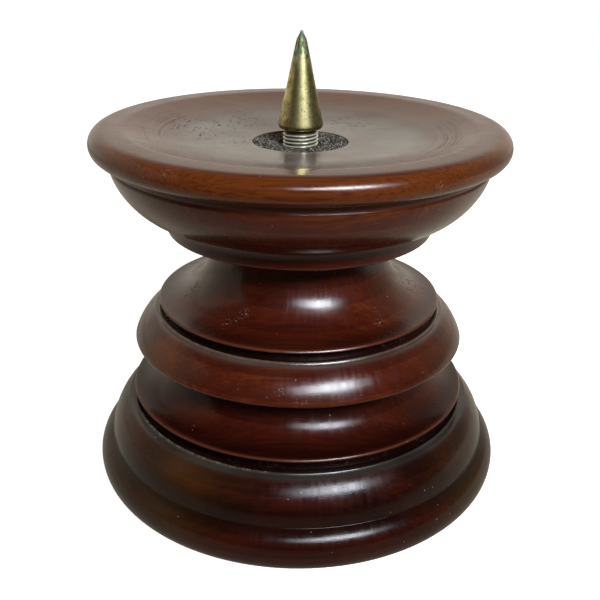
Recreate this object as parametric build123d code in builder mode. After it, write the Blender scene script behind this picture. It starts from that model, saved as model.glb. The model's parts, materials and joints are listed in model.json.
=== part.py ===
from build123d import *
from math import ceil, cos, floor, radians, sqrt, tan
import os

os.makedirs("parts", exist_ok=True)

# Foot: a rounded bead below an ovolo, with a flat land at the top
FOOT_R = 62.1
FOOT_SOLE_IN = 5.3
FOOT_BULGE_H = 6.4
FOOT_BEAD_IN = 4.0
FOOT_BEAD_H = 12.9
FOOT_OVOLO_W = 5.5
FOOT_OVOLO_H = 11.8
FOOT_OVOLO_ARC = 19.0
FOOT_LAND_W = 2.5
FOOT_GROOVE_H = 1.1
FOOT_GROOVE_W = 0.9
FOOT_GROOVE_FLOOR = 1.8

# Waist bell: a fillet in the groove, a thin lip and a hollow cove
WAIST_FILLET_H = 3.8
WAIST_LIP_W = 3.1
WAIST_COVE_W = 12.0
WAIST_COVE_R = 12.5
WAIST_NECK_H = 2.4

# Middle ring: a flat underside and a rounded edge
RING_R = 49.2
RING_EDGE_H = 0.8
RING_EDGE_W = 0.3
RING_H = 9.45
RING_ARC = 13.7
RING_CURVE_W = 6.5
RING_LAND_W = 1.2
RING_GROOVE_H = 1.2
RING_GROOVE_W = 0.9
RING_GROOVE_FLOOR = 1.8

# Neck bell: the same form as the waist bell, narrower and taller
NECK_FILLET_H = 3.05
NECK_LIP_W = 2.9
NECK_COVE_W = 16.7
NECK_COVE_R = 18.6
NECK_H = 2.4

# Lip and edges shared by the bells
LIP_RISE = 0.75
LIP_EDGE_H = 0.6
ARRIS_ROUND = 0.25

# Dish: band, cove and ovolo below, a round rim and a shallow hollow above
RIM_R = 58.4
RIM_LOWER_ARC = 3.2
RIM_UPPER_ARC = 3.9
RIM_CREST_IN = 8.0
RIM_INNER_ARC = 8.0
RIM_OVERHANG = 4.7
QUIRK_W = 1.0
QUIRK_COVE_R = 1.3
QUIRK_H = 2.4
DISH_OVOLO_W = 8.6
DISH_OVOLO_H = 12.7
DISH_OVOLO_ARC = 20.5
SOFFIT_W = 1.9
DISH_COVE_R = 4.8
BAND_H = 2.4
BAND_EDGE = 0.4
DISH_DEPTH = 5.1
DISH_FLOOR_R = 13.8

# Spigots that locate the turned pieces on each other
SPIGOT_FIT = 0.1
SPIGOT_END_GAP = 0.2
FOOT_SOCKET_R = 20.0
FOOT_SOCKET_H = 7.0
NECK_SPIGOT_R = 15.9
WAIST_SOCKET_H = 6.0
DISH_SOCKET_R = 15.0
DISH_SOCKET_H = 3.6

# Fine lamp thread shared by the spike, the coupling, the tie rod and the nut
PITCH = 1.0
THREAD_R = 4.95
THREAD_ROOT_R = 4.38
THREAD_CREST_W = 0.16
FLANK_DEG = 30.0
THREAD_GAP = 0.08
ROOT_GAP = 0.13
RIDGE_LAP = 0.1
TAP_OVERRUN = 4.0
ROD_FIT = 0.3

# Hardware
COUPLING_AF = 17.0
COUPLING_L = 15.7
NUT_AF = 17.0
NUT_H = 6.0
WASHER_R = 11.0
WASHER_T = 1.6
POCKET_R = 13.5
POCKET_H = 11.0
TIE_ENGAGE = 5.0
TIE_STICK_OUT = 0.8
TIE_BODY_R = 4.9

# Felt washer round the spike and felt pad under the foot
FELT_T = 1.0
FELT_FIT = 0.1
FELT_HOLE_R = 6.2
FELT_SINK = 0.2
PAD_BORDER = 6.6
PAD_T = 1.2
PAD_FIT = 0.2

# Spike: threaded shank, relief groove, cone and sharpened point
SPIKE_LIFT = 4.0
SHANK_L = 10.8
SHANK_CHAMFER = 0.7
RELIEF_R = 4.2
RELIEF_H = 0.7
SPIKE_SEAT_R = 5.3
SPIKE_R = 6.3
SPIKE_CHAMFER_H = 0.9
SPIKE_CONE_H = 22.3
SPIKE_SHOULDER_R = 1.45
SPIKE_POINT_H = 2.8
SPIKE_TIP_R = 0.25

# Turns of the round mouldings, in degrees
QUARTER = 90
HALF = 180

# Radii worked out inwards from the foot, the ring and the rim
FOOT_SOLE_R = FOOT_R - FOOT_SOLE_IN
FOOT_BEAD_R = FOOT_R - FOOT_BEAD_IN
FOOT_LAND_R = FOOT_BEAD_R - FOOT_OVOLO_W
FOOT_GROOVE_R = FOOT_LAND_R - FOOT_LAND_W - FOOT_GROOVE_W
WAIST_FILLET_R = FOOT_GROOVE_R - FOOT_GROOVE_FLOOR
WAIST_LIP_R = WAIST_FILLET_R + WAIST_LIP_W
WAIST_R = WAIST_LIP_R - WAIST_COVE_W
RING_LAND_R = RING_R - RING_CURVE_W
RING_GROOVE_R = RING_LAND_R - RING_LAND_W - RING_GROOVE_W
NECK_FILLET_R = RING_GROOVE_R - RING_GROOVE_FLOOR
NECK_LIP_R = NECK_FILLET_R + NECK_LIP_W
NECK_R = NECK_LIP_R - NECK_COVE_W
RIM_CREST_R = RIM_R - RIM_CREST_IN
DISH_OVOLO_TOP_R = RIM_R - RIM_OVERHANG
DISH_OVOLO_R = DISH_OVOLO_TOP_R - DISH_OVOLO_W
BAND_R = DISH_OVOLO_R - SOFFIT_W - DISH_COVE_R
PAD_R = FOOT_SOLE_R - PAD_BORDER - PAD_FIT
ROD_HOLE_R = THREAD_R + ROD_FIT
FELT_R = POCKET_R - FELT_FIT
RING_BORE_R = NECK_SPIGOT_R + SPIGOT_FIT

# Heights worked out from the sole upwards
Z_BEAD = FOOT_BEAD_H
Z_FOOT_LAND = Z_BEAD + FOOT_OVOLO_H
Z_WAIST = Z_FOOT_LAND - FOOT_GROOVE_H
Z_WAIST_ARRIS = Z_WAIST + WAIST_FILLET_H + LIP_RISE + LIP_EDGE_H
Z_WAIST_COVE = Z_WAIST_ARRIS + sqrt(WAIST_COVE_R**2 - (WAIST_COVE_R + WAIST_R - WAIST_LIP_R) ** 2)
Z_RING = Z_WAIST_COVE + WAIST_NECK_H
Z_RING_LAND = Z_RING + RING_H
Z_NECK = Z_RING_LAND - RING_GROOVE_H
Z_NECK_ARRIS = Z_NECK + NECK_FILLET_H + LIP_RISE + LIP_EDGE_H
Z_NECK_COVE = Z_NECK_ARRIS + sqrt(NECK_COVE_R**2 - (NECK_COVE_R + NECK_R - NECK_LIP_R) ** 2)
Z_DISH = Z_NECK_COVE + NECK_H
Z_SOFFIT = Z_DISH + BAND_H + DISH_COVE_R
Z_OVOLO_TOP = Z_SOFFIT + DISH_OVOLO_H
Z_RIM_UNDER = Z_OVOLO_TOP + QUIRK_H
Z_RIM_MID = Z_RIM_UNDER + RIM_LOWER_ARC
Z_RIM_TOP = Z_RIM_MID + RIM_UPPER_ARC
Z_FLOOR = Z_RIM_TOP - DISH_DEPTH
Z_FELT = Z_FLOOR - FELT_SINK - FELT_T
Z_COUPLING = Z_FELT - COUPLING_L
Z_WELL = Z_COUPLING - WASHER_T
Z_SPIKE = Z_FELT + FELT_T + SPIKE_LIFT
Z_SHANK_END = Z_SPIKE - SHANK_L
Z_SHANK_LOW = Z_SHANK_END - SPIKE_LIFT
Z_TIE_TOP = Z_COUPLING + TIE_ENGAGE
Z_NUT = POCKET_H - WASHER_T - NUT_H
Z_TIE_END = Z_NUT - TIE_STICK_OUT

# The hollow of the dish blends into the rim where both arcs share a slope
hollow_span = RIM_CREST_R - DISH_FLOOR_R
hollow_blend = (hollow_span**2 + DISH_DEPTH**2) / (2 * DISH_DEPTH)
hollow_arc = hollow_blend - RIM_INNER_ARC
hollow_sin = hollow_span / hollow_blend
hollow_cos = sqrt(1 - hollow_sin**2)
blend_r = DISH_FLOOR_R + hollow_arc * hollow_sin
blend_z = Z_FLOOR + hollow_arc * (1 - hollow_cos)

# Widths of the thread ridge and of the groove that it runs in
flank = tan(radians(FLANK_DEG))
groove_r = THREAD_R + THREAD_GAP
bore_r = THREAD_ROOT_R + ROOT_GAP
groove_w = THREAD_CREST_W - 2 * THREAD_GAP * flank + 2 * THREAD_GAP / cos(radians(FLANK_DEG))


def thread_ridge(inner_r, outer_r, outer_w, start, high):
    """A helical ridge; starts at whole pitches keep all of them in step."""
    half_in = outer_w / 2 + (outer_r - inner_r) * flank
    with BuildPart() as ridge:
        with BuildLine() as path:
            Helix(pitch=PITCH, height=high - start, radius=inner_r, center=(0, 0, start))
        with BuildSketch(Plane(path.line @ 0, x_dir=(1, 0, 0), z_dir=path.line % 0)):
            with BuildLine():
                Polyline(
                    (0, -half_in),
                    (outer_r - inner_r, -outer_w / 2),
                    (outer_r - inner_r, outer_w / 2),
                    (0, half_in),
                    close=True,
                )
            make_face()
        sweep(path=path.line, is_frenet=True)
    return ridge.part


def male_ridge(low, high):
    start = PITCH * ceil(low / PITCH)
    return thread_ridge(THREAD_ROOT_R - RIDGE_LAP, THREAD_R, THREAD_CREST_W, start, high)


def female_ridge(low, high):
    start = PITCH * floor(low / PITCH)
    return thread_ridge(bore_r - RIDGE_LAP / 2, groove_r, groove_w, start, high)


with BuildPart() as foot:
    with BuildSketch(Plane.XZ):
        with BuildLine():
            Line((0, 0), (FOOT_SOLE_R, 0))
            EllipticalCenterArc(
                (FOOT_SOLE_R, FOOT_BULGE_H),
                FOOT_SOLE_IN,
                FOOT_BULGE_H,
                start_angle=-QUARTER,
                arc_size=QUARTER,
            )
            EllipticalCenterArc(
                (FOOT_BEAD_R, FOOT_BULGE_H),
                FOOT_BEAD_IN,
                Z_BEAD - FOOT_BULGE_H,
                start_angle=0,
                arc_size=QUARTER,
            )
            RadiusArc((FOOT_BEAD_R, Z_BEAD), (FOOT_LAND_R, Z_FOOT_LAND), -FOOT_OVOLO_ARC)
            Polyline(
                (FOOT_LAND_R, Z_FOOT_LAND),
                (FOOT_LAND_R - FOOT_LAND_W, Z_FOOT_LAND),
                (FOOT_GROOVE_R, Z_WAIST),
                (0, Z_WAIST),
                (0, 0),
            )
        make_face()
    revolve(axis=Axis.Z)
    with BuildSketch(Plane.XY):
        Circle(PAD_R + PAD_FIT)
    extrude(amount=PAD_T, mode=Mode.SUBTRACT)
    with BuildSketch(Plane.XY):
        Circle(POCKET_R)
    extrude(amount=POCKET_H, mode=Mode.SUBTRACT)
    with Locations((0, 0, Z_WAIST)):
        CounterBoreHole(ROD_HOLE_R, FOOT_SOCKET_R, FOOT_SOCKET_H)
foot.part.label = "foot"
export_step(foot.part, "parts/foot.step")

with BuildPart() as waist_bell:
    with BuildSketch(Plane.XZ) as waist_outline:
        with BuildLine():
            Polyline(
                (0, Z_WAIST),
                (WAIST_FILLET_R, Z_WAIST),
                (WAIST_FILLET_R, Z_WAIST + WAIST_FILLET_H),
                (WAIST_LIP_R, Z_WAIST_ARRIS - LIP_EDGE_H),
                (WAIST_LIP_R, Z_WAIST_ARRIS),
            )
            RadiusArc((WAIST_LIP_R, Z_WAIST_ARRIS), (WAIST_R, Z_WAIST_COVE), WAIST_COVE_R)
            Polyline(
                (WAIST_R, Z_WAIST_COVE),
                (WAIST_R, Z_RING),
                (0, Z_RING),
                (0, Z_WAIST),
            )
        make_face()
        fillet(waist_outline.vertices().group_by(Axis.X)[-1], ARRIS_ROUND)
    revolve(axis=Axis.Z)
    with BuildSketch(Plane.XY.offset(Z_WAIST)):
        Circle(FOOT_SOCKET_R - SPIGOT_FIT)
    extrude(amount=-(FOOT_SOCKET_H - SPIGOT_END_GAP))
    with Locations((0, 0, Z_RING)):
        CounterBoreHole(ROD_HOLE_R, RING_BORE_R, WAIST_SOCKET_H)
waist_bell.part.label = "waist_bell"
export_step(waist_bell.part, "parts/waist_bell.step")

with BuildPart() as middle_ring:
    with BuildSketch(Plane.XZ):
        with BuildLine():
            Polyline(
                (RING_BORE_R, Z_RING),
                (RING_R - RING_EDGE_W, Z_RING),
                (RING_R, Z_RING + RING_EDGE_H),
            )
            RadiusArc((RING_R, Z_RING + RING_EDGE_H), (RING_LAND_R, Z_RING_LAND), -RING_ARC)
            Polyline(
                (RING_LAND_R, Z_RING_LAND),
                (RING_LAND_R - RING_LAND_W, Z_RING_LAND),
                (RING_GROOVE_R, Z_NECK),
                (RING_BORE_R, Z_NECK),
                (RING_BORE_R, Z_RING),
            )
        make_face()
    revolve(axis=Axis.Z)
middle_ring.part.label = "middle_ring"
export_step(middle_ring.part, "parts/middle_ring.step")

with BuildPart() as neck_bell:
    with BuildSketch(Plane.XZ) as neck_outline:
        with BuildLine():
            Polyline(
                (0, Z_NECK),
                (NECK_FILLET_R, Z_NECK),
                (NECK_FILLET_R, Z_NECK + NECK_FILLET_H),
                (NECK_LIP_R, Z_NECK_ARRIS - LIP_EDGE_H),
                (NECK_LIP_R, Z_NECK_ARRIS),
            )
            RadiusArc((NECK_LIP_R, Z_NECK_ARRIS), (NECK_R, Z_NECK_COVE), NECK_COVE_R)
            Polyline(
                (NECK_R, Z_NECK_COVE),
                (NECK_R, Z_DISH),
                (0, Z_DISH),
                (0, Z_NECK),
            )
        make_face()
        fillet(neck_outline.vertices().group_by(Axis.X)[-1], ARRIS_ROUND)
    revolve(axis=Axis.Z)
    with BuildSketch(Plane.XY.offset(Z_NECK)):
        Circle(NECK_SPIGOT_R)
    extrude(amount=-(Z_NECK - Z_RING + WAIST_SOCKET_H - SPIGOT_END_GAP))
    with BuildSketch(Plane.XY.offset(Z_DISH)):
        Circle(DISH_SOCKET_R - SPIGOT_FIT)
    extrude(amount=DISH_SOCKET_H - SPIGOT_END_GAP)
    with Locations((0, 0, Z_DISH + DISH_SOCKET_H)):
        Hole(ROD_HOLE_R)
neck_bell.part.label = "neck_bell"
export_step(neck_bell.part, "parts/neck_bell.step")

with BuildPart() as dish:
    with BuildSketch(Plane.XZ):
        with BuildLine():
            Polyline(
                (0, Z_DISH),
                (BAND_R - BAND_EDGE, Z_DISH),
                (BAND_R, Z_DISH + BAND_EDGE),
                (BAND_R, Z_DISH + BAND_H),
            )
            CenterArc((BAND_R + DISH_COVE_R, Z_DISH + BAND_H), DISH_COVE_R, HALF, -QUARTER)
            Line((BAND_R + DISH_COVE_R, Z_SOFFIT), (DISH_OVOLO_R, Z_SOFFIT))
            RadiusArc(
                (DISH_OVOLO_R, Z_SOFFIT), (DISH_OVOLO_TOP_R, Z_OVOLO_TOP), -DISH_OVOLO_ARC
            )
            quirk_r = DISH_OVOLO_TOP_R - QUIRK_W
            Polyline(
                (DISH_OVOLO_TOP_R, Z_OVOLO_TOP),
                (quirk_r, Z_OVOLO_TOP),
                (quirk_r, Z_RIM_UNDER - QUIRK_COVE_R),
            )
            CenterArc(
                (quirk_r + QUIRK_COVE_R, Z_RIM_UNDER - QUIRK_COVE_R), QUIRK_COVE_R, HALF, -QUARTER
            )
            Line((quirk_r + QUIRK_COVE_R, Z_RIM_UNDER), (RIM_R - RIM_LOWER_ARC, Z_RIM_UNDER))
            CenterArc((RIM_R - RIM_LOWER_ARC, Z_RIM_MID), RIM_LOWER_ARC, -QUARTER, QUARTER)
            CenterArc((RIM_R - RIM_UPPER_ARC, Z_RIM_MID), RIM_UPPER_ARC, 0, QUARTER)
            Line((RIM_R - RIM_UPPER_ARC, Z_RIM_TOP), (RIM_CREST_R, Z_RIM_TOP))
            RadiusArc((RIM_CREST_R, Z_RIM_TOP), (blend_r, blend_z), -RIM_INNER_ARC)
            RadiusArc((blend_r, blend_z), (DISH_FLOOR_R, Z_FLOOR), hollow_arc)
            Polyline((DISH_FLOOR_R, Z_FLOOR), (0, Z_FLOOR), (0, Z_DISH))
        make_face()
    revolve(axis=Axis.Z)
    with BuildSketch(Plane.XY.offset(Z_DISH)):
        Circle(DISH_SOCKET_R)
    extrude(amount=DISH_SOCKET_H, mode=Mode.SUBTRACT)
    with Locations((0, 0, Z_FLOOR)):
        CounterBoreHole(ROD_HOLE_R, POCKET_R, Z_FLOOR - Z_WELL)
dish.part.label = "dish"
export_step(dish.part, "parts/dish.step")

tie_ridge_top = male_ridge(Z_COUPLING, Z_TIE_TOP - PITCH)
tie_ridge_low = male_ridge(Z_TIE_END + PITCH, POCKET_H)
with BuildPart() as tie_rod:
    with BuildSketch(Plane.XY.offset(Z_TIE_END)):
        Circle(THREAD_ROOT_R)
    extrude(amount=Z_TIE_TOP - Z_TIE_END)
    with BuildSketch(Plane.XY.offset(POCKET_H + PITCH)):
        Circle(TIE_BODY_R)
    extrude(amount=Z_WELL - POCKET_H - PITCH)
    add(tie_ridge_top)
    add(tie_ridge_low)
tie_rod.part.label = "tie_rod"
export_step(tie_rod.part, "parts/tie_rod.step")

for name, low in (("top_washer", Z_WELL), ("bottom_washer", POCKET_H - WASHER_T)):
    with BuildPart() as washer:
        with BuildSketch(Plane.XY.offset(low)):
            Circle(WASHER_R)
            Circle(ROD_HOLE_R, mode=Mode.SUBTRACT)
        extrude(amount=WASHER_T)
    washer.part.label = name
    export_step(washer.part, f"parts/{name}.step")

coupling_ridge_low = female_ridge(Z_COUPLING - PITCH, Z_TIE_TOP)
coupling_ridge_top = female_ridge(Z_SHANK_LOW + SHANK_CHAMFER, Z_FELT + PITCH)
with BuildPart() as coupling_tap:
    with BuildSketch(Plane.XY.offset(Z_COUPLING - TAP_OVERRUN)):
        Circle(bore_r)
    extrude(amount=COUPLING_L + 2 * TAP_OVERRUN)
    add(coupling_ridge_low)
    add(coupling_ridge_top)
with BuildPart() as coupling:
    with BuildSketch(Plane.XY.offset(Z_COUPLING)):
        RegularPolygon(COUPLING_AF / 2, 6, major_radius=False)
    extrude(amount=COUPLING_L)
    add(coupling_tap.part, mode=Mode.SUBTRACT)
coupling.part.label = "coupling"
export_step(coupling.part, "parts/coupling.step")

nut_ridge = female_ridge(Z_NUT - PITCH, Z_NUT + NUT_H + PITCH)
with BuildPart() as nut_tap:
    with BuildSketch(Plane.XY.offset(Z_NUT - TAP_OVERRUN)):
        Circle(bore_r)
    extrude(amount=NUT_H + 2 * TAP_OVERRUN)
    add(nut_ridge)
with BuildPart() as bottom_nut:
    with BuildSketch(Plane.XY.offset(Z_NUT)):
        RegularPolygon(NUT_AF / 2, 6, major_radius=False)
    extrude(amount=NUT_H)
    add(nut_tap.part, mode=Mode.SUBTRACT)
bottom_nut.part.label = "bottom_nut"
export_step(bottom_nut.part, "parts/bottom_nut.step")

with BuildPart() as felt_washer:
    with BuildSketch(Plane.XY.offset(Z_FELT)):
        Circle(FELT_R)
        Circle(FELT_HOLE_R, mode=Mode.SUBTRACT)
    extrude(amount=FELT_T)
felt_washer.part.label = "felt_washer"
export_step(felt_washer.part, "parts/felt_washer.step")

with BuildPart() as felt_pad:
    with BuildSketch(Plane.XY):
        Circle(PAD_R)
    extrude(amount=PAD_T)
felt_pad.part.label = "felt_pad"
export_step(felt_pad.part, "parts/felt_pad.step")

spike_ridge = male_ridge(Z_SHANK_END + SHANK_CHAMFER, Z_SPIKE - RELIEF_H - PITCH / 2)
with BuildPart() as spike:
    with BuildSketch(Plane.XZ):
        with BuildLine():
            Polyline(
                (0, Z_SHANK_END),
                (THREAD_ROOT_R - SHANK_CHAMFER, Z_SHANK_END),
                (THREAD_ROOT_R, Z_SHANK_END + SHANK_CHAMFER),
                (THREAD_ROOT_R, Z_SPIKE - RELIEF_H),
                (RELIEF_R, Z_SPIKE - RELIEF_H),
                (RELIEF_R, Z_SPIKE),
                (SPIKE_SEAT_R, Z_SPIKE),
                (SPIKE_R, Z_SPIKE + SPIKE_CHAMFER_H),
                (SPIKE_SHOULDER_R, Z_SPIKE + SPIKE_CHAMFER_H + SPIKE_CONE_H),
                (SPIKE_TIP_R, Z_SPIKE + SPIKE_CHAMFER_H + SPIKE_CONE_H + SPIKE_POINT_H),
                (0, Z_SPIKE + SPIKE_CHAMFER_H + SPIKE_CONE_H + SPIKE_POINT_H),
                close=True,
            )
        make_face()
    revolve(axis=Axis.Z)
    add(spike_ridge)
spike.part.label = "spike"
export_step(spike.part, "parts/spike.step")
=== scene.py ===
import json
import math

import bpy
import numpy as np
from mathutils import Matrix, Vector, noise


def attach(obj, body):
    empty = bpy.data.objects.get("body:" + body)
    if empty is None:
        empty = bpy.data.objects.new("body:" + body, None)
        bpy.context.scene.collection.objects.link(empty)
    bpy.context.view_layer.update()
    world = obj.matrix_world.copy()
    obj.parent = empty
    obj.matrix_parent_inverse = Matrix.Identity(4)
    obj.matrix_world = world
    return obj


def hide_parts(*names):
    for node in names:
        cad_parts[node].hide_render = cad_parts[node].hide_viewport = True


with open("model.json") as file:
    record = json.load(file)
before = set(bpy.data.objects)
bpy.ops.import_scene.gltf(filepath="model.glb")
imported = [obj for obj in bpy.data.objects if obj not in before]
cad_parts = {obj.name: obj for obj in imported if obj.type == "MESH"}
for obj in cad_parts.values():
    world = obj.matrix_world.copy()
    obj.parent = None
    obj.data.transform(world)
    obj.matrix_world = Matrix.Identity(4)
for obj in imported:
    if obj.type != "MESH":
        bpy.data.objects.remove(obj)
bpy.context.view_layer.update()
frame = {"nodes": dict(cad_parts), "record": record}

MM = 0.001

# Heights of the turned stack, mm above the table
Z_PAD = 1.2
Z_BULGE = 6.4
Z_POCKET = 11.0
Z_BEAD = 12.9
Z_FOOT_SOCKET = 16.6
Z_FOOT_LAND = 24.7
Z_WAIST = 23.6
Z_WAIST_FILLET = 27.4
Z_WAIST_LIP = 28.15
Z_WAIST_ARRIS = 28.75
Z_WAIST_COVE = 41.24
Z_RING = 43.64
Z_RING_LAND = 53.09
Z_NECK = 51.89
Z_NECK_FILLET = 54.94
Z_NECK_LIP = 55.69
Z_NECK_ARRIS = 56.29
Z_NECK_COVE = 72.493
Z_DISH = 77.193
Z_WELL = 82.993
Z_SOFFIT = 84.393
Z_OVOLO_SHOULDER = 96.4
Z_OVOLO_TOP = 97.093
Z_QUIRK = 98.6
Z_RIM_UNDER = 99.493
Z_FELT = 100.293
Z_FELT_TOP = 101.1
Z_FLOOR = 101.493
Z_RIM_MID = 102.693
Z_HOLLOW = 106.288
Z_RIM_TOP = 106.593
Z_TIP = 131.292

# Radii of the mouldings, mm
FOOT_R = 62.1
SOLE_R = 56.8
BEAD_R = 58.1
FOOT_EDGE_R = 50.5
FOOT_LAND_R = 50.1
FOOT_GROOVE_R = 49.2
WAIST_FILLET_R = 47.4
WAIST_LIP_R = 50.5
WAIST_R = 38.5
RING_R = 49.2
RING_EDGE_R = 42.0
RING_LAND_R = 41.5
RING_GROOVE_R = 40.6
NECK_FILLET_R = 38.8
NECK_LIP_R = 41.7
NECK_R = 25.5
NECK_TOP_R = 25.0
BAND_R = 38.4
OVOLO_R = 53.45
QUIRK_R = 53.3
RIM_R = 58.4
RIM_UNDER_ARC = 3.2
RIM_TOP_ARC = 3.9
HOLLOW_R = 48.213
FLOOR_R = 13.8

# Radii, heights and fits of the bores and sockets inside the stack, mm
ROD_HOLE_R = 5.25
POCKET_R = 13.5
PAD_RECESS_R = 50.2
FOOT_SOCKET_R = 20.0
RING_BORE_R = 16.0
RING_BORE_H = 6.0
DISH_SOCKET_R = 15.0
DISH_SOCKET_H = 3.6
SPIGOT_FIT = 0.1
SPIGOT_GAP = 0.2

# Small edges that catch the light: the bevel of a lip and the raised inner edge of a land, mm
LIP_BEVEL_W = 0.35
LIP_BEVEL_H = 0.55
LIP_BEVEL_ARC = 1.5
LAND_EDGE_W = 0.3
LAND_EDGE_H = 0.45
LAND_EDGE_ARC = 2.0

# How an outline is finished: the size of an eased corner, mm, the turn that counts as a corner,
# degrees, the longest straight run, mm, and the steps round the axis
EASED_EDGE = 0.28
SHARP_TURN = 14.0
LONGEST_RUN = 2.5
TURN_STEPS = 288

# The slopes of a cove at its lip, where its two arcs meet, and at its neck, degrees
COVE_SLOPES = (0, 70, 82)

# Marks on the turned wood, of use and of painted shade, sheen and light, and how far each spreads, mm
MARKS = (
    "rub", "grime", "soot", "pale", "olive", "film",
    "bloom", "flecks", "lines", "cracks", "scuffs", "dusty",
)
NOWHERE = [(0.0, -100.0)]
RUBBED = 0.4
GRIMY = 1.1
# how far the painted shade spreads, mm
SOOTY = 3.5
DUSTY = 0.4


def arc(start, end, radius, side, steps=22):
    """Points on the arc from start to end; side 1 bulges out of the wood, -1 hollows it."""
    p, q = np.array(start, float), np.array(end, float)
    chord = q - p
    length = np.hypot(*chord)
    across = np.array([-chord[1], chord[0]]) / length
    centre = (p + q) / 2 + side * across * math.sqrt(radius**2 - length**2 / 4)
    a = math.atan2(*(p - centre)[::-1])
    b = math.atan2(*(q - centre)[::-1])
    sweep = (b - a + math.pi) % (2 * math.pi) - math.pi
    angles = np.linspace(a, a + sweep, steps)
    return [tuple(centre + radius * np.array([math.cos(t), math.sin(t)])) for t in angles]


def quarter(centre, r_radius, z_radius, first, steps=22):
    """A quarter of an ellipse, anticlockwise from the first angle in degrees."""
    angles = np.radians(np.linspace(first, first + 90, steps))
    return [(centre[0] + r_radius * math.cos(t), centre[1] + z_radius * math.sin(t)) for t in angles]


def cove(lip, neck, slopes, steps=18):
    """A hollow from its lip in and up to its neck, on two arcs that meet smoothly. The slopes are
    those of the lip, of the place where the arcs meet and of the neck, in degrees."""
    first, middle, last = np.radians(slopes)
    inwards = [np.sin(middle) - np.sin(first), np.sin(last) - np.sin(middle)]
    upwards = [np.cos(first) - np.cos(middle), np.cos(middle) - np.cos(last)]
    low, high = np.linalg.solve([inwards, upwards], (lip[0] - neck[0], neck[1] - lip[1]))
    points, here = [], lip
    for radius, a, b in ((low, first, middle), (high, middle, last)):
        turn = np.linspace(a, b, steps)
        r = here[0] - radius * (np.sin(turn) - np.sin(a))
        z = here[1] + radius * (np.cos(a) - np.cos(turn))
        points += list(zip(r, z))
        here = points[-1]
    return points


def lip_bevel(radius, height):
    """The bevel on a lip, from its outer edge in and up to its arris."""
    outer, arris = (radius, height - LIP_BEVEL_H), (radius - LIP_BEVEL_W, height)
    return arc(outer, arris, LIP_BEVEL_ARC, 1, 10)


def land_edge(radius, height):
    """The step from a land up to the raised edge inside it."""
    land, edge = (radius + LAND_EDGE_W, height - LAND_EDGE_H), (radius, height)
    return arc(land, edge, LAND_EDGE_ARC, 1, 8)


def ease(outline):
    """The closed outline with its corners rubbed round and its long runs divided."""
    points = [np.array(outline[0], float)]
    for point in outline[1:]:
        if math.dist(point, points[-1]) > 1e-3:
            points.append(np.array(point, float))
    eased = []
    for i, here in enumerate(points):
        a, b = here - points[i - 1], points[(i + 1) % len(points)] - here
        if abs(math.atan2(a[0] * b[1] - a[1] * b[0], a @ b)) < math.radians(SHARP_TURN):
            eased.append(here)
            continue
        size = min(EASED_EDGE, 0.45 * np.hypot(*a), 0.45 * np.hypot(*b))
        p, q = here - a / np.hypot(*a) * size, here + b / np.hypot(*b) * size
        eased += [(1 - t) ** 2 * p + 2 * t * (1 - t) * here + t**2 * q for t in np.linspace(0, 1, 6)]
    filled = []
    for p, q in zip(eased, eased[1:] + eased[:1]):
        count = max(1, math.ceil(math.dist(p, q) / LONGEST_RUN))
        filled += [p + (q - p) * t / count for t in range(count)]
    return np.array(filled)


def closeness(points, marks, reach):
    """1 at each mark, falling to 0 over the reach in mm."""
    gaps = np.linalg.norm(points[:, None] - np.array(marks)[None], axis=2)
    return np.exp(-((np.min(gaps, axis=1) / reach) ** 2))


def along(radius, height, degrees):
    """Points on a turned edge; the front is at -90 degrees and the right at 0."""
    return [(radius * math.cos(a), radius * math.sin(a), height) for a in np.radians(degrees)]


def new_piece(name, verts, faces, material, body, node, crease=40):
    mesh = bpy.data.meshes.new(name)
    mesh.from_pydata([tuple(v) for v in verts], [], faces)
    mesh.materials.append(material)
    mesh.shade_smooth()
    mesh.set_sharp_from_angle(angle=math.radians(crease))
    piece = bpy.data.objects.new(name, mesh)
    bpy.context.collection.objects.link(piece)
    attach(piece, body)
    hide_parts(node)
    return piece


def rings_to_faces(rows, steps, closed):
    """Quads between rings of points that run round the axis."""
    faces = []
    for i in range(rows if closed else rows - 1):
        low, high = i * steps, (i + 1) % rows * steps
        for j in range(steps):
            k = (j + 1) % steps
            faces.append((low + j, low + k, high + k, high + j))
    return faces


def turned(node, outline, wood, board, tone, **marks):
    """A turned piece from its closed outline. A mark is a list of places and a reach in mm; a place
    is a radius and a height for a mark that runs all round, or a point."""
    shape = ease(outline)
    angles = np.linspace(0, 2 * math.pi, TURN_STEPS, endpoint=False)
    around = np.stack([np.cos(angles), np.sin(angles)], axis=1)
    verts = [np.column_stack([around * r, np.full(TURN_STEPS, z)]) for r, z in shape]
    faces = rings_to_faces(len(shape), TURN_STEPS, closed=True)
    verts = np.concatenate(verts)
    piece = new_piece("turned_" + node, verts * MM, faces, wood, "stand", node)
    layers = {"tone": np.full(len(shape), tone), "board": np.full(len(shape), board)}
    for name in MARKS:
        places, reach = marks.get(name, (NOWHERE, 1.0))
        all_round = len(places[0]) == 2
        layers[name] = closeness(shape if all_round else verts, places, reach)
    for name, values in layers.items():
        if len(values) == len(shape):
            values = np.repeat(values, TURN_STEPS)
        layer = piece.data.attributes.new(name, "FLOAT", "POINT")
        layer.data.foreach_set("value", values)
    return piece


def linear(code):
    """An sRGB hex colour as linear RGBA."""
    parts = [int(code[i : i + 2], 16) / 255 for i in (1, 3, 5)]
    return [c / 12.92 if c <= 0.04045 else ((c + 0.055) / 1.055) ** 2.4 for c in parts] + [1.0]


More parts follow.
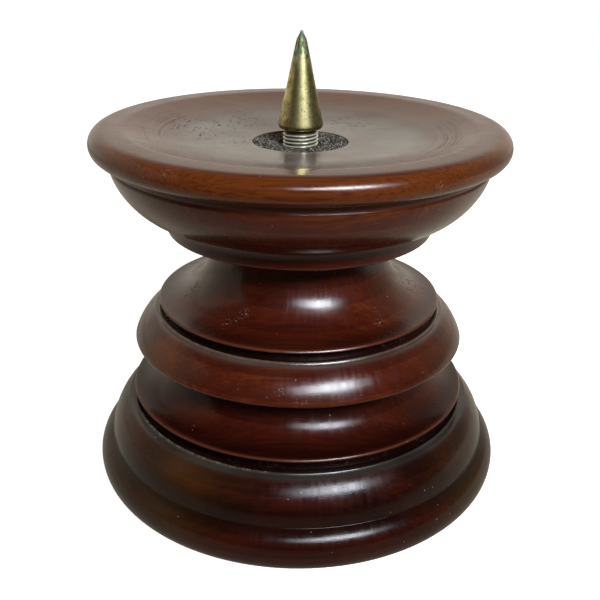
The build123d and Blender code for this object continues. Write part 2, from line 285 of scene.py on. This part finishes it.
def add(tree, kind, inputs=(), stops=(), out=None, **settings):
    """Adds a node and gives its named output, or the first in use. An input is a value or a socket."""
    made = tree.nodes.new("ShaderNode" + kind)
    for key, value in settings.items():
        setattr(made, key, value)
    for key, value in dict(inputs).items():
        if isinstance(value, bpy.types.NodeSocket):
            tree.links.new(value, made.inputs[key])
        else:
            made.inputs[key].default_value = value
    for i, (position, level) in enumerate(stops):
        elements = made.color_ramp.elements
        element = elements[i] if i < len(elements) else elements.new(position)
        element.position = position
        element.color = linear(level) if isinstance(level, str) else (level, level, level, 1)
    return made.outputs[out] if out else next((s for s in made.outputs if s.enabled), None)


def new_material(name):
    material = bpy.data.materials.new(name)
    material.use_nodes = True
    material.node_tree.nodes.clear()
    return material, material.node_tree


def patches(tree, place, patterns):
    """Patches of noise, by name: the size of a patch in mm along x, y and z, and the levels of
    the noise at which it starts and is full."""
    found = {}
    for name, (size, start, full) in patterns.items():
        spread = add(tree, "Mapping", {"Vector": place, "Scale": [1 / (s * MM) for s in size]})
        grain = add(tree, "TexNoise", {"Vector": spread, "Scale": 1.0, "Detail": 3.0})
        found[name] = add(tree, "ValToRGB", {"Fac": grain}, stops=((start, 0.0), (full, 1.0)))
    return found


def stained(tree, colour, coats):
    """Lays coats of colour one over another, each as strong as its number where its masks are."""
    for shade, strength, *masks in coats:
        amount = strength
        for mask in masks:
            amount = add(tree, "Math", {0: amount, 1: mask}, operation="MULTIPLY")
        top = shade if isinstance(shade, bpy.types.NodeSocket) else linear(shade)
        colour = add(tree, "Mix", {"Factor": amount, "A": colour, "B": top}, data_type="RGBA")
    return colour


# Mahogany turned across the plank, stained and french polished. The fibres run left to right,
# so the front shows long streaks, the ends show dots, and a thin skin of shellac shines over all.
mahogany, tree = new_material("mahogany")
place = add(tree, "TexCoord", out="Object")
mark = {m: add(tree, "Attribute", out="Fac", attribute_name=m) for m in MARKS + ("tone", "board")}
away = add(tree, "CombineXYZ", {axis: mark["board"] for axis in "XYZ"})
plank = add(tree, "VectorMath", {0: place, 1: away}, operation="ADD")
sideways = add(tree, "SeparateXYZ", {0: add(tree, "NewGeometry", out="Normal")}, out="X")
sideways = add(tree, "Math", {0: sideways}, operation="ABSOLUTE")
end_grain = add(tree, "ValToRGB", {"Fac": sideways}, stops=((0.45, 0.0), (0.9, 1.0)))

# places along the lathe's turn: the arc at TURN_R, the radius and the height
TURN_R = 30.0
spot = add(tree, "SeparateXYZ", {0: place}).node.outputs
back = add(tree, "Math", {0: spot["Y"], 1: -1.0}, operation="MULTIPLY")
turn = add(tree, "Math", {0: spot["X"], 1: back}, operation="ARCTAN2")
turn = add(tree, "Math", {0: turn, 1: TURN_R * MM}, operation="MULTIPLY")
radius = add(tree, "VectorMath", {0: place, 1: (1.0, 1.0, 0.0)}, operation="MULTIPLY")
radius = add(tree, "VectorMath", {0: radius}, operation="LENGTH")
lathe = add(tree, "CombineXYZ", {"X": turn, "Y": radius, "Z": spot["Z"]})

# growth layers 2.4 mm thick, stripes 7 to 60 mm across, and fibres 0.8 mm across and 33 mm long
layers = add(tree, "Mapping", {"Vector": plank, "Scale": [1 / (s * MM) for s in (50, 25, 2.4)]})
layers = add(
    tree,
    "TexWave",
    {"Vector": layers, "Scale": 0.16, "Distortion": 2.2, "Detail": 3.0, "Detail Scale": 0.8},
    out="Fac",
    wave_profile="SAW",
    bands_direction="Z",
)
stripes = add(tree, "Mapping", {"Vector": plank, "Scale": [1 / (s * MM) for s in (60, 7, 11)]})
stripes = add(tree, "TexNoise", {"Vector": stripes, "Scale": 1.0, "Detail": 3.0})
fibres = add(tree, "Mapping", {"Vector": plank, "Scale": [1 / (s * MM) for s in (33, 0.8, 0.8)]})
fibres = add(tree, "TexNoise", {"Vector": fibres, "Scale": 1.0, "Detail": 2.0})
figure = add(tree, "Mix", {"Factor": 0.4, "A": stripes, "B": fibres}, data_type="FLOAT")
figure = add(tree, "Mix", {"Factor": 0.12, "A": figure, "B": layers}, data_type="FLOAT")
figure = add(tree, "Math", {0: figure, 1: mark["tone"]}, operation="ADD")
figure = add(tree, "Math", {0: mark["pale"], 1: 0.3, 2: figure}, operation="MULTIPLY_ADD")
colour = add(
    tree,
    "ValToRGB",
    {"Fac": figure},
    stops=((0.38, "#1C0503"), (0.62, "#360F07"), (0.84, "#4C1A0A"), (1.0, "#66300F")),
)

# open pores 0.36 mm wide and 8 mm long, where they lie thick, checks in the end grain, clouds of
# handling, worn finish, dust, scuffs, lint, and dark streaks 80 mm long
grain = patches(
    tree,
    plank,
    {
        "pores": ((8.0, 0.36, 0.36), 0.62, 0.72),
        "thick": ((33.0, 22.0, 22.0), 0.42, 0.62),
        "checks": ((1.4, 1.1, 4.0), 0.54, 0.60),
        "cloud": ((6.0, 6.0, 6.0), 0.4, 0.62),
        "worn": ((20.0, 14.0, 14.0), 0.12, 0.62),
        "dust": ((1.1, 1.1, 1.1), 0.52, 0.68),
        "scuffs": ((0.5, 0.5, 0.5), 0.58, 0.64),
        "lint": ((0.6, 0.6, 0.6), 0.36, 0.60),
        "streaks": ((80.0, 0.55, 0.55), 0.48, 0.62),
    },
)
# short flecks where the hollow cuts open pores, fine turning lines near its edge, and ripples
# across the turning that break up the edges of a highlight
grain |= patches(
    tree,
    lathe,
    {
        "flecks": ((1.9, 0.7, 0.7), 0.60, 0.64),
        "lines": ((30.0, 0.6, 0.6), 0.50, 0.56),
        "ripples": ((0.7, 9.0, 9.0), 0.3, 0.7),
    },
)
cracks = add(tree, "Math", {0: grain["checks"], 1: mark["cracks"]}, operation="MULTIPLY")
grooves = add(tree, "Math", {0: grain["lines"], 1: mark["lines"]}, operation="MULTIPLY")
opened = add(tree, "Math", {0: grooves, 1: 0.4, 2: cracks}, operation="MULTIPLY_ADD")
opened = add(tree, "Math", {0: grain["flecks"], 1: mark["flecks"], 2: opened}, operation="MULTIPLY_ADD")
# specks of dust, about 4 mm apart
specks = add(tree, "TexVoronoi", {"Vector": place, "Scale": 1 / (4 * MM)}, out="Distance")
specks = add(tree, "ValToRGB", {"Fac": specks}, stops=((0.03, 1.0), (0.045, 0.0)))
# from the wood outwards: its own darks, old finish and painted sheen, open cuts, painted shade, dirt
# with painted shade, dust with a painted highlight, wear with painted light
colour = stained(
    tree,
    colour,
    (
        ("#160604", 0.8, grain["pores"], grain["thick"]),
        ("#2C1006", 0.45, grain["streaks"], mark["pale"]),
        ("#4A3516", 0.42, mark["olive"]),
        ("#28190B", 0.5, end_grain),
        ("#0C0403", 0.8, grain["checks"], grain["thick"], end_grain),
        # painted sheen: a pale haze on the top of the rim
        ("#8A7060", 0.28, mark["bloom"]),
        # grey film: dust on the lands, and in the hollow of the dish a painted sheen
        ("#85857A", 0.76, mark["film"], grain["worn"]),
        ("#0C0705", 0.9, opened),
        # painted shade: near black around the grooves and fillets, under the dish and under the ring
        ("#0D0403", 0.6, mark["soot"]),
        # dirt in the corners, and painted shade: near black in the fillets and grooves
        ("#0D0403", 0.8, mark["grime"]),
        ("#8A8078", 0.1, grain["dust"], mark["grime"], grain["cloud"]),
        # pale dust along the land edges, and along the front of the ring's land a painted highlight
        ("#A39A88", 0.6, mark["dusty"], grain["lint"]),
        ("#A08E7E", 0.7, grain["scuffs"], mark["scuffs"]),
        # edges rubbed lighter by wear, and under the rim painted light that lifts the shaded land
        ("#94583E", 0.32, mark["rub"]),
        ("#C4B8AA", 0.7, specks, grain["cloud"]),
    ),
)
smear = add(tree, "TexNoise", {"Vector": place, "Scale": 1 / (14 * MM), "Detail": 5.0})
smeared = {"Value": smear, "From Min": 0.3, "From Max": 0.7, "To Min": 0.11, "To Max": 0.20}
rough = add(tree, "MapRange", smeared)
dulled = (
    (mark["film"], -0.07),
    (mark["grime"], 0.15),
    (grain["pores"], 0.1),
    (opened, 0.5),
    (grain["ripples"], 0.1),
)
for where, amount in dulled:
    rough = add(tree, "Math", {0: where, 1: amount, 2: rough}, operation="MULTIPLY_ADD")
relief = smear
for where, height in ((grain["pores"], -1.0), (opened, -20.0), (grain["ripples"], 1.5)):
    relief = add(tree, "Math", {0: where, 1: height, 2: relief}, operation="MULTIPLY_ADD")
bump = add(tree, "Bump", {"Height": relief, "Strength": 0.1, "Distance": 0.05 * MM})
polish = add(tree, "BsdfPrincipled", {"Base Color": colour, "Roughness": rough, "Normal": bump})
add(tree, "OutputMaterial", {"Surface": polish})

# The same wood low down, where its shellac is worn thin and shines less.
worn_mahogany = mahogany.copy()
worn_mahogany.name = "worn_mahogany"
worn_polish = worn_mahogany.node_tree.nodes["Principled BSDF"]
worn_polish.inputs["Specular IOR Level"].default_value = 0.28

# Brass, turned and long handled: dull olive tarnish over yellow metal, green at the tip, painted shade
# down its right-hand side, paler bare metal on the crests of the thread, and painted shade in its
# roots.
brass, tree = new_material("aged_brass")
place = add(tree, "TexCoord", out="Object")
height = add(tree, "SeparateXYZ", {0: place}, out="Z")
stain = patches(
    tree,
    place,
    {
        "tarnish": ((1.5, 1.5, 2.4), 0.40, 0.66),
        "crust": ((1.4, 1.4, 2.0), 0.36, 0.60),
        "spots": ((0.6, 0.6, 0.8), 0.62, 0.68),
        "pits": ((0.5, 0.5, 0.7), 0.50, 0.60),
    },
)
# heights in mm between which each zone of the spike comes in
zone = {"tip": (121.0, 126.5), "low_edge": (106.7, 106.2), "shank": (105.28, 105.24)}
for name, (start, full) in zone.items():
    rising = {"Value": height, "From Min": start * MM, "From Max": full * MM}
    zone[name] = add(tree, "MapRange", rising)
radius = add(tree, "VectorMath", {0: place, 1: (1.0, 1.0, 0.0)}, operation="MULTIPLY")
radius = add(tree, "VectorMath", {0: radius}, operation="LENGTH")
# painted shade: darker down the right-hand side
handled = add(tree, "SeparateXYZ", {0: place}, out="X")
handled = add(tree, "Math", {0: handled, 1: radius}, operation="DIVIDE")
handled = add(tree, "MapRange", {"Value": handled, "From Min": 0.35, "From Max": 0.9})
# the thread: paler bare metal on its crests, painted shade darkening its roots
crest = add(tree, "MapRange", {"Value": radius, "From Min": 4.4 * MM, "From Max": 4.9 * MM})
thread = stained(tree, linear("#544C34"), (("#FBF7E6", 1.0, crest),))
green = add(tree, "Math", {0: stain["crust"], 1: zone["tip"]}, operation="MULTIPLY")
colour = stained(
    tree,
    linear("#E2D89C"),
    (
        ("#787244", 0.7, stain["tarnish"]),
        ("#376B50", 0.95, green),
        ("#6A6638", 0.6, handled),
        # pits on the right-hand side only, within its painted shade
        ("#3A3018", 0.75, stain["pits"], handled),
        ("#3A3418", 0.8, stain["spots"]),
        ("#6E5832", 0.6, zone["low_edge"]),
        (thread, 1.0, zone["shank"]),
    ),
)
rough = add(tree, "Math", {0: stain["tarnish"], 1: 0.10, 2: 0.31}, operation="MULTIPLY_ADD")
rough = add(tree, "Math", {0: green, 1: 0.35, 2: rough}, operation="MULTIPLY_ADD")
metal = add(tree, "Math", {0: green, 1: -0.8, 2: 1.0}, operation="MULTIPLY_ADD")
metal = add(tree, "Math", {0: zone["shank"], 1: -0.3, 2: metal}, operation="MULTIPLY_ADD")
sunk = {"Height": stain["spots"], "Strength": 0.3, "Distance": 0.05 * MM}
pits = add(tree, "Bump", sunk, invert=True)
lathed = {"Base Color": colour, "Roughness": rough, "Metallic": metal, "Normal": pits}
add(tree, "OutputMaterial", {"Surface": add(tree, "BsdfPrincipled", lathed)})

# Tarnished brass on the hidden coupling: brown and dull.
old_brass, tree = new_material("tarnished_brass")
stain = patches(tree, add(tree, "TexCoord", out="Object"), {"brown": ((1.7, 1.7, 1.7), 0.35, 0.65)})
colour = stained(tree, linear("#2E2412"), (("#5A4A24", 1.0, stain["brown"]),))
dull = add(tree, "BsdfPrincipled", {"Base Color": colour, "Metallic": 0.8, "Roughness": 0.6})
add(tree, "OutputMaterial", {"Surface": dull})

# Old felt: a dark matted wool with pale lint, no shine at all.
felt, tree = new_material("dark_felt")
wool = patches(
    tree,
    add(tree, "TexCoord", out="Object"),
    {"matted": ((0.8, 0.8, 0.8), 0.42, 0.66), "lint": ((0.42, 0.42, 0.42), 0.56, 0.64)},
)
colour = stained(
    tree, linear("#120E0A"), (("#544A40", 1.0, wool["matted"]), ("#E4DED4", 0.9, wool["lint"]))
)
bump = add(tree, "Bump", {"Height": wool["matted"], "Strength": 0.8, "Distance": 0.25 * MM})
cloth = {"Base Color": colour, "Normal": bump, "Roughness": 0.95, "Specular IOR Level": 0.1}
add(tree, "OutputMaterial", {"Surface": add(tree, "BsdfPrincipled", cloth)})

# Green baize under the foot: woven wool, soft and flat.
baize, tree = new_material("green_baize")
wool = patches(tree, add(tree, "TexCoord", out="Object"), {"nap": ((0.83, 0.83, 0.83), 0.35, 0.65)})
colour = stained(tree, linear("#1E4A30"), (("#35694A", 1.0, wool["nap"]),))
bump = add(tree, "Bump", {"Height": wool["nap"], "Strength": 0.6, "Distance": 0.2 * MM})
cloth = {"Base Color": colour, "Normal": bump, "Roughness": 0.95, "Specular IOR Level": 0.1}
add(tree, "OutputMaterial", {"Surface": add(tree, "BsdfPrincipled", cloth)})

# Zinc-plated steel fittings: grey, a little cloudy.
steel, tree = new_material("zinc_plated_steel")
plating = patches(tree, add(tree, "TexCoord", out="Object"), {"bloom": ((2.0, 2.0, 2.0), 0.35, 0.65)})
colour = stained(tree, linear("#8E9093"), (("#B4B5B5", 1.0, plating["bloom"]),))
rough = add(tree, "Math", {0: plating["bloom"], 1: 0.15, 2: 0.3}, operation="MULTIPLY_ADD")
plated = add(tree, "BsdfPrincipled", {"Base Color": colour, "Roughness": rough, "Metallic": 1.0})
add(tree, "OutputMaterial", {"Surface": plated})

finish = {
    "brass": old_brass,
    "steel": steel,
    "dark_felt": felt,
    "green_baize": baize,
    "mahogany": mahogany,
}
for part in frame["record"]["subparts"]:
    mesh = frame["nodes"][part["node"]].data
    mesh.materials.clear()
    mesh.materials.append(finish[part["material_slot"]])

# The five turned pieces: up the outside first, then back down through the bores
# The darkening marks at grooves, fillets and overhangs below are painted shade.
turned(
    "foot",
    quarter((SOLE_R, Z_BULGE), FOOT_R - SOLE_R, Z_BULGE, -90)
    + arc((FOOT_R, Z_BULGE), (BEAD_R, Z_BEAD), 7.3, 1)
    + arc((BEAD_R, Z_BEAD), (52.5, Z_FOOT_LAND - LAND_EDGE_H), 16.5, 1)
    + land_edge(FOOT_EDGE_R, Z_FOOT_LAND)
    + [(FOOT_LAND_R, Z_FOOT_LAND), (FOOT_GROOVE_R, Z_WAIST)]
    + [(FOOT_SOCKET_R, Z_WAIST), (FOOT_SOCKET_R, Z_FOOT_SOCKET), (ROD_HOLE_R, Z_FOOT_SOCKET)]
    + [(ROD_HOLE_R, Z_POCKET), (POCKET_R, Z_POCKET), (POCKET_R, Z_PAD)]
    + [(PAD_RECESS_R, Z_PAD), (PAD_RECESS_R, 0)],
    wood=worn_mahogany,
    board=0.30,
    tone=-0.01,
    olive=([(-31, -45, 22), (-36, -48, 8), (-52, -30, 8), (-50, -20, 18), (50, -34, 8)], 13.0),
    pale=([(-30, -45, 22), (-46, -27, 22)], 8.0),
    grime=([(48.3, Z_WAIST)], GRIMY),
    soot=([(48.3, Z_WAIST), (FOOT_EDGE_R, Z_FOOT_LAND), (BEAD_R, Z_BEAD), (57.9, 15.0)], SOOTY),
    film=([(51.4, Z_FOOT_LAND + 0.5)], 1.3),
    dusty=(along(50.2, Z_FOOT_LAND - 0.1, range(-155, -98)), DUSTY),
)
turned(
    "waist_bell",
    [(WAIST_FILLET_R, Z_WAIST), (WAIST_FILLET_R, Z_WAIST_FILLET), (WAIST_LIP_R, Z_WAIST_LIP)]
    + lip_bevel(WAIST_LIP_R, Z_WAIST_ARRIS)
    + cove((WAIST_LIP_R - LIP_BEVEL_W, Z_WAIST_ARRIS), (WAIST_R, Z_WAIST_COVE), COVE_SLOPES)
    + [(WAIST_R, Z_RING), (RING_BORE_R, Z_RING)]
    + [(RING_BORE_R, Z_RING - RING_BORE_H), (ROD_HOLE_R, Z_RING - RING_BORE_H)]
    + [(r, Z_FOOT_SOCKET + SPIGOT_GAP) for r in (ROD_HOLE_R, FOOT_SOCKET_R - SPIGOT_FIT)]
    + [(FOOT_SOCKET_R - SPIGOT_FIT, Z_WAIST)],
    wood=worn_mahogany,
    board=0.73,
    tone=0.15,
    rub=([(WAIST_LIP_R, Z_WAIST_ARRIS)], RUBBED),
    grime=([(WAIST_FILLET_R, z) for z in (Z_WAIST, 25.5, Z_WAIST_FILLET)] + [(WAIST_R, Z_RING)], GRIMY),
    soot=(
        [(WAIST_FILLET_R, z) for z in (Z_WAIST, Z_WAIST_FILLET)] + [(WAIST_R, Z_RING), (39.5, 38.5)],
        SOOTY,
    ),
    cracks=([(33, -29, 31.2), (38.6, -21.8, 30.6)], 2.2),
)
turned(
    "middle_ring",
    [(48.9, Z_RING)]
    + arc((RING_R, Z_RING + 0.8), (43.0, Z_RING_LAND - LAND_EDGE_H), 17.0, 1)
    + land_edge(RING_EDGE_R, Z_RING_LAND)
    + [(RING_LAND_R, Z_RING_LAND), (RING_GROOVE_R, Z_NECK)]
    + [(RING_BORE_R, Z_NECK), (RING_BORE_R, Z_RING)],
    wood=mahogany,
    board=1.17,
    tone=0.28,
    pale=([(-38, -30, 48)], 8.0),
    film=([(42.7, Z_RING_LAND + 0.5)], 1.2),
    # a pale line on the land's edge: dust at the left, a painted highlight toward the front
    dusty=(along(41.55, Z_RING_LAND - 0.1, range(-155, -45)), DUSTY),
    rub=([(RING_LAND_R, Z_RING_LAND)], RUBBED),
    grime=([(39.6, Z_NECK), (WAIST_R, Z_RING)], GRIMY),
    soot=([(39.6, Z_NECK), (WAIST_R, Z_RING)], SOOTY),
    scuffs=([(-4.6, -47.6, 47.7), (0.9, -48.8, 45.6)], 1.2),
)
turned(
    "neck_bell",
    [(NECK_FILLET_R, Z_NECK), (NECK_FILLET_R, Z_NECK_FILLET), (NECK_LIP_R, Z_NECK_LIP)]
    + lip_bevel(NECK_LIP_R, Z_NECK_ARRIS)
    + cove((NECK_LIP_R - LIP_BEVEL_W, Z_NECK_ARRIS), (NECK_R, Z_NECK_COVE), COVE_SLOPES)
    + [(NECK_TOP_R, Z_DISH), (DISH_SOCKET_R - SPIGOT_FIT, Z_DISH)]
    + [(r, Z_DISH + DISH_SOCKET_H - SPIGOT_GAP) for r in (DISH_SOCKET_R - SPIGOT_FIT, ROD_HOLE_R)]
    + [(r, Z_RING - RING_BORE_H + SPIGOT_GAP) for r in (ROD_HOLE_R, RING_BORE_R - SPIGOT_FIT)]
    + [(RING_BORE_R - SPIGOT_FIT, Z_NECK)],
    wood=mahogany,
    board=1.61,
    tone=0.26,
    rub=([(NECK_LIP_R, Z_NECK_ARRIS)], RUBBED),
    grime=([(NECK_FILLET_R, z) for z in (Z_NECK, 53.5, Z_NECK_FILLET)] + [(NECK_TOP_R, Z_DISH)], GRIMY),
    soot=([(NECK_FILLET_R, z) for z in (Z_NECK, Z_NECK_FILLET)] + [(NECK_TOP_R, Z_DISH)], SOOTY),
    cracks=([(-31, -9.5, 60), (34.6, 1.8, 58.5), (33.5, -3, 60)], 3.5),
    scuffs=([(-14.6, -28, 60.6), (22.6, -26.9, 58.3), (-19.6, -28.6, 58.5)], 1.5),
)
turned(
    "dish",
    [(BAND_R - 0.4, Z_DISH), (BAND_R, Z_DISH + 0.4)]
    + arc((BAND_R, Z_DISH + 2.4), (43.2, Z_SOFFIT), 4.8, -1)
    + arc((45.1, Z_SOFFIT), (OVOLO_R, Z_OVOLO_SHOULDER), 20.5, 1)
    + quarter((OVOLO_R - 0.2, Z_OVOLO_SHOULDER), 0.2, Z_OVOLO_TOP - Z_OVOLO_SHOULDER, 0, 8)
    + [(53.15, 97.2), (53.2, 97.4), (QUIRK_R, Z_QUIRK)]
    + arc((QUIRK_R, Z_QUIRK), (54.4, Z_RIM_UNDER), 1.3, -1, 10)
    + quarter((RIM_R - RIM_UNDER_ARC, Z_RIM_MID), RIM_UNDER_ARC, RIM_UNDER_ARC, -90)
    + quarter((RIM_R - RIM_TOP_ARC, Z_RIM_MID), RIM_TOP_ARC, RIM_TOP_ARC, 0)
    + arc((50.4, Z_RIM_TOP), (HOLLOW_R, Z_HOLLOW), 8.0, 1)
    + arc((HOLLOW_R, Z_HOLLOW), (FLOOR_R, Z_FLOOR), 125.88, -1, 40)
    + [(POCKET_R, Z_FLOOR), (POCKET_R, Z_WELL), (ROD_HOLE_R, Z_WELL)]
    + [(r, Z_DISH + DISH_SOCKET_H) for r in (ROD_HOLE_R, DISH_SOCKET_R)]
    + [(DISH_SOCKET_R, Z_DISH)],
    wood=mahogany,
    board=2.09,
    tone=0.31,
    # painted light: lightens the shaded land under the rim
    rub=([(53.25, 97.6), (QUIRK_R, 98.4)], 0.6),
    soot=([(NECK_TOP_R, Z_DISH)], SOOTY),
    # lighter rim: rubbed by handling at its top, painted light on its downward-facing lower edge
    pale=([(57.4, Z_RIM_MID + 2.4), (58.2, Z_RIM_MID), (57.2, Z_RIM_MID - 2.4)], 2.4),
    # the grey film in the hollow is painted sheen
    film=([(r, Z_FLOOR + 0.4) for r in range(14, 31, 3)], 7.0),
    # the pale haze on the rim top is painted sheen
    bloom=([(r, 104.3 + 0.22 * (r - 40)) for r in range(39, 52, 2)], 2.6),
    flecks=(
        [(-32, 10, 103.1), (-27, 3, 102.3), (-18, 21, 102.3)]
        + [(-25, 15, 102.5), (-18, -2, 102), (14, 22, 102)],
        7.0,
    ),
    lines=(along(41.0, 104.6, [*range(155, 205, 5), *range(-40, 15, 5)]), 3.0),
    scuffs=([(-30, -49.2, 105), (32.2, -48.7, 102.7)], 1.3),
)

# The spike: a lathe-turned cone over a fine thread, one ridge per millimetre
THREAD_R, THREAD_ROOT_R, CREST, FLANK = 4.95, 4.38, 0.08, 0.33
THREAD_START, THREAD_END = 95.3, 104.4
CONE_R, CONE_TOP_R = 6.27, 1.5
Z_CONE, Z_CONE_TOP = 106.4, 128.4
SPIKE_STEPS = 120

# radius and height up the spike: end of the shank, thread, relief, bevel, cone and blunt point
levels = [(0.0, 94.493), (3.0, 94.493), (3.68, 94.493), (4.3, 95.1)]
levels += [(THREAD_ROOT_R, z) for z in np.linspace(95.2, 104.59, 120)]
levels += [(4.3, 104.6), (4.2, 104.75), (4.2, 105.1), (4.25, 105.27), (5.6, 105.293), (5.8, 105.31)]
levels += [(6.08, 105.6), (6.2, 105.95), (6.28, 106.1), (6.28, 106.3)]
levels += [
    (CONE_R + (CONE_TOP_R - CONE_R) * t, Z_CONE + (Z_CONE_TOP - Z_CONE) * t)
    for t in np.linspace(0, 1, 30)
]
levels += [(1.43, 128.75), (1.25, 129.2), (0.85, 129.95), (0.55, 130.5)]
levels += [(0.44, 130.8), (0.4, 131.05), (0.25, 131.25), (0.0, Z_TIP)]
rows = []
for r, z in levels:
    row = []
    for j in range(SPIKE_STEPS):
        turn = j / SPIKE_STEPS
        proud = 0.0
        if r == THREAD_ROOT_R:
            offset = abs((z - turn + 0.5) % 1 - 0.5)
            proud = (THREAD_R - THREAD_ROOT_R) * min(1, max(0, 1 - (offset - CREST) / FLANK))
            proud *= min(1, max(0, z - THREAD_START), max(0, (THREAD_END - z) * 2))
        angle = 2 * math.pi * turn
        row.append(((r + proud) * math.cos(angle), (r + proud) * math.sin(angle), z))
    rows.append(np.array(row))
new_piece(
    "turned_spike",
    np.concatenate(rows) * MM,
    rings_to_faces(len(rows), SPIKE_STEPS, closed=False),
    brass,
    "spike",
    "spike",
    crease=50,
)

# The felt washer: a ragged ring of matted wool with its hole stretched by the shank
FELT_STEPS, FELT_ROWS = 260, 26
FELT_R, FELT_HOLE_R, RAGGED = 13.46, 6.3, 0.35
FELT_LUMP, FELT_DROOP = 0.1, 0.3
rows = []
for i in range(FELT_ROWS + 1):
    row = []
    for j in range(FELT_STEPS):
        angle = 2 * math.pi * j / FELT_STEPS
        way = Vector((math.cos(angle), math.sin(angle), 0))
        ragged = noise.noise(way * 9) + 0.6 * noise.noise(way * 23) + 0.4 * noise.noise(way * 60)
        hole = FELT_HOLE_R + RAGGED * ragged
        spot = way * (hole + (FELT_R - hole) * i / FELT_ROWS)
        lump = noise.noise(spot * 0.9) + 0.7 * noise.noise(spot * 2.3)
        droop = FELT_DROOP * math.exp(-30 * i / FELT_ROWS) if i < FELT_ROWS / 2 else 0
        row.append((spot.x, spot.y, Z_FELT_TOP + FELT_LUMP * lump - droop))
    rows.append(np.array(row))
lower = [np.column_stack([rows[k][:, :2], np.full(FELT_STEPS, Z_FELT)]) for k in (-1, 0)]
new_piece(
    "felt_ring",
    np.concatenate(rows + lower) * MM,
    [f[::-1] for f in rings_to_faces(len(rows) + 2, FELT_STEPS, closed=True)],
    felt,
    "washer",
    "felt_washer",
    crease=70,
)


# Light: a tall window at the front right, a pale wall behind, a dim room in front
def soft_lamp(name, place, aim, size, radiance, shift=0.0, tint="#FFFFFF"):
    lamp = bpy.data.lights.new(name, "AREA")
    lamp.color = linear(tint)[:3]
    lamp.shape = "RECTANGLE"
    lamp.size, lamp.size_y = size
    lamp.energy = radiance * math.pi * size[0] * size[1]
    made = bpy.data.objects.new(name, lamp)
    bpy.context.collection.objects.link(made)
    way = Vector(aim) - Vector(place)
    made.rotation_euler = way.to_track_quat("-Z", "Y").to_euler()
    made.location = Vector(place) + shift * way.cross(Vector((0, 0, 1))).normalized()
    made.visible_camera = False


OBJECT_MID = (0, 0, 0.06)
WINDOW = (0.613, -1.352, 1.18)
PANE_SIZE = (0.29, 0.45)
DAYLIGHT, WARM_WALL = "#F0F6FF", "#FFF0DA"

# the window's panes: how bright each is, and how far along the wall, m
panes = {
    "curtain": (8.0, -0.64),
    "left": (21.0, -0.32),
    "middle": (41.0, 0.0),
    "right": (34.0, 0.32),
    "far": (4.0, 0.70),
}
for side, (radiance, shift) in panes.items():
    soft_lamp(f"window_{side}", WINDOW, OBJECT_MID, PANE_SIZE, radiance, shift, DAYLIGHT)
soft_lamp("left_wall", (-1.0, 0.2, 0.4), OBJECT_MID, (1.2, 0.8), 0.3, tint=WARM_WALL)
soft_lamp("right_wall", (1.0, 0.35, 0.4), OBJECT_MID, (0.9, 0.8), 0.05, tint=WARM_WALL)

# The room: white to the eye, and a pale wall behind for the polish and the brass
world = bpy.data.worlds.new("studio")
bpy.context.scene.world = world
world.use_nodes = True
tree = world.node_tree
tree.nodes.clear()
behind = add(tree, "SeparateXYZ", {0: add(tree, "TexCoord", out="Generated")}, out="Y")
wall = add(
    tree,
    "ValToRGB",
    {"Fac": behind},
    stops=((0.0, "#3A352E"), (0.55, "#8A8072"), (0.85, "#E4D9C9"), (0.965, "#E0D6C8")),
)
seen = add(tree, "LightPath", out="Is Camera Ray")
room = stained(tree, wall, (("#FFFFFF", 1.0, seen),))
add(tree, "OutputWorld", {"Surface": add(tree, "Background", {"Color": room, "Strength": 1.0})})

# A white floor, bright to the eye and dim to the polish, that keeps a soft shadow
FLOOR_SIDE, FLOOR_FRONT, FLOOR_BACK = 1.4, -1.4, 0.8
corners = [(-FLOOR_SIDE, FLOOR_FRONT, 0), (FLOOR_SIDE, FLOOR_FRONT, 0)]
corners += [(FLOOR_SIDE, FLOOR_BACK, 0), (-FLOOR_SIDE, FLOOR_BACK, 0)]
floor_mesh = bpy.data.meshes.new("floor")
floor_mesh.from_pydata(corners, [], [(0, 1, 2, 3)])
floor = bpy.data.objects.new("floor", floor_mesh)
bpy.context.collection.objects.link(floor)
white_floor, tree = new_material("white_floor")
seen = add(tree, "LightPath", out="Is Camera Ray")
mirrored = add(tree, "LightPath", out="Is Glossy Ray")
# painted shade: for reflections the floor is dark in front and pale behind
depth = add(tree, "SeparateXYZ", {0: add(tree, "TexCoord", out="Object")}, out="Y")
depth = add(tree, "MapRange", {"Value": depth, "From Min": -0.2, "From Max": 0.06})
mirror = stained(tree, linear("#1E1B18"), (("#EBDDC6", 1.0, depth),))
paint = stained(tree, linear("#747474"), ((mirror, 1.0, mirrored), ("#F6F6F6", 1.0, seen)))
lift = add(tree, "Math", {0: seen, 1: 0.86}, operation="MULTIPLY")
chalk = {"Base Color": paint, "Roughness": 0.8, "Specular IOR Level": 0.0}
chalk |= {"Emission Color": (1, 1, 1, 1), "Emission Strength": lift}
add(tree, "OutputMaterial", {"Surface": add(tree, "BsdfPrincipled", chalk)})
floor_mesh.materials.append(white_floor)

# Camera at the photograph's place: mm, degrees down, radians of roll
CAMERA_PLACE = Vector((0.45, -236.0, 156.5)) * MM
CAMERA_DOWN = 23.785
CAMERA_ROLL = 0.0129
camera = bpy.data.objects.new("camera", bpy.data.cameras.new("camera"))
bpy.context.collection.objects.link(camera)
camera.data.sensor_width = 36.0
camera.data.lens = 50.77
camera.data.clip_start = 0.01
tilt = Matrix.Rotation(math.pi / 2 - math.radians(CAMERA_DOWN), 4, "X")
roll = Matrix.Rotation(CAMERA_ROLL, 4, "Z")
camera.matrix_world = Matrix.Translation(CAMERA_PLACE) @ tilt @ roll
bpy.context.scene.camera = camera
bpy.context.scene.view_settings.view_transform = "Standard"
